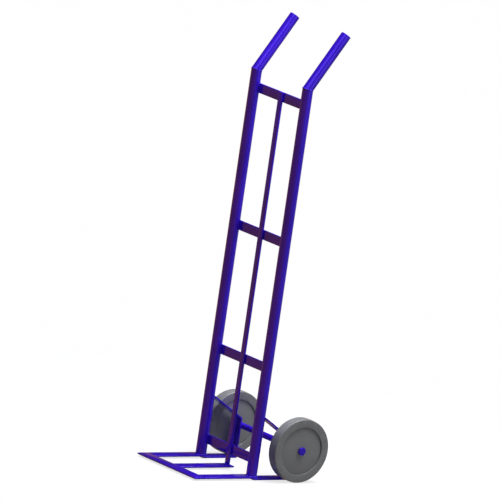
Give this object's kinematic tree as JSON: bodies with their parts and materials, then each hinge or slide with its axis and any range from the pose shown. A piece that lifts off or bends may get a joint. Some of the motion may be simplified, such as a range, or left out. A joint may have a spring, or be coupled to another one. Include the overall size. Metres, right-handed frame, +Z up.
{
  "type": "hand truck",
  "caption": "Upright two-wheeled hand truck: tube rails with tilted-back handles, flat crossbars, an E-shaped toe plate of flat bar, strap brackets, an axle and solid rubber wheels.",
  "frame": {"origin": "on the floor, under the middle of the footprint: midway between the two wheels, and midway between the toe plate's front edge and the wheels' backs", "axes": "+Z up along the rails; +X along the axle towards the left hand of the person who holds the handles; -Y towards the toe plate and the load"},
  "size_m": [0.3952, 0.459, 1.3991],
  "materials": {
    "frame_paint": "gloss",
    "plug_plastic": "matte",
    "zinc_steel": "satin",
    "tyre_rubber": "satin",
    "wheel_plastic": "satin",
    "bush_bronze": "satin"
  },
  "bodies": {
    "frame": {"left_rail": "frame_paint", "right_rail": "frame_paint", "left_handle": "frame_paint", "right_handle": "frame_paint", "left_handle_plug": "plug_plastic", "right_handle_plug": "plug_plastic", "top_crossbar": "frame_paint", "upper_crossbar": "frame_paint", "lower_crossbar": "frame_paint", "bottom_crossbar": "frame_paint", "centre_strip": "frame_paint", "toe_front_bar": "frame_paint", "left_toe_finger": "frame_paint", "centre_toe_finger": "frame_paint", "right_toe_finger": "frame_paint", "left_foot_strap": "frame_paint", "right_foot_strap": "frame_paint", "left_upright_strap": "frame_paint", "right_upright_strap": "frame_paint", "left_stay": "frame_paint", "right_stay": "frame_paint", "axle": "frame_paint", "left_stop_ring": "zinc_steel", "right_stop_ring": "zinc_steel", "left_inner_washer": "zinc_steel", "right_inner_washer": "zinc_steel", "left_outer_washer": "zinc_steel", "right_outer_washer": "zinc_steel", "left_axle_cap": "frame_paint", "right_axle_cap": "frame_paint"},
    "left_wheel": {"left_tyre": "tyre_rubber", "left_wheel_disc": "wheel_plastic", "left_hub_bush": "bush_bronze"},
    "right_wheel": {"right_tyre": "tyre_rubber", "right_wheel_disc": "wheel_plastic", "right_hub_bush": "bush_bronze"}
  },
  "joints": [
    {"name": "left_wheel_spin", "type": "hinge", "parent": "frame", "child": "left_wheel", "pos_m": [0.175, 0.1295, 0.1], "axis": [1, 0, 0], "continuous": true},
    {"name": "right_wheel_spin", "type": "hinge", "parent": "frame", "child": "right_wheel", "pos_m": [-0.175, 0.1295, 0.1], "axis": [1, 0, 0], "continuous": true}
  ]
}
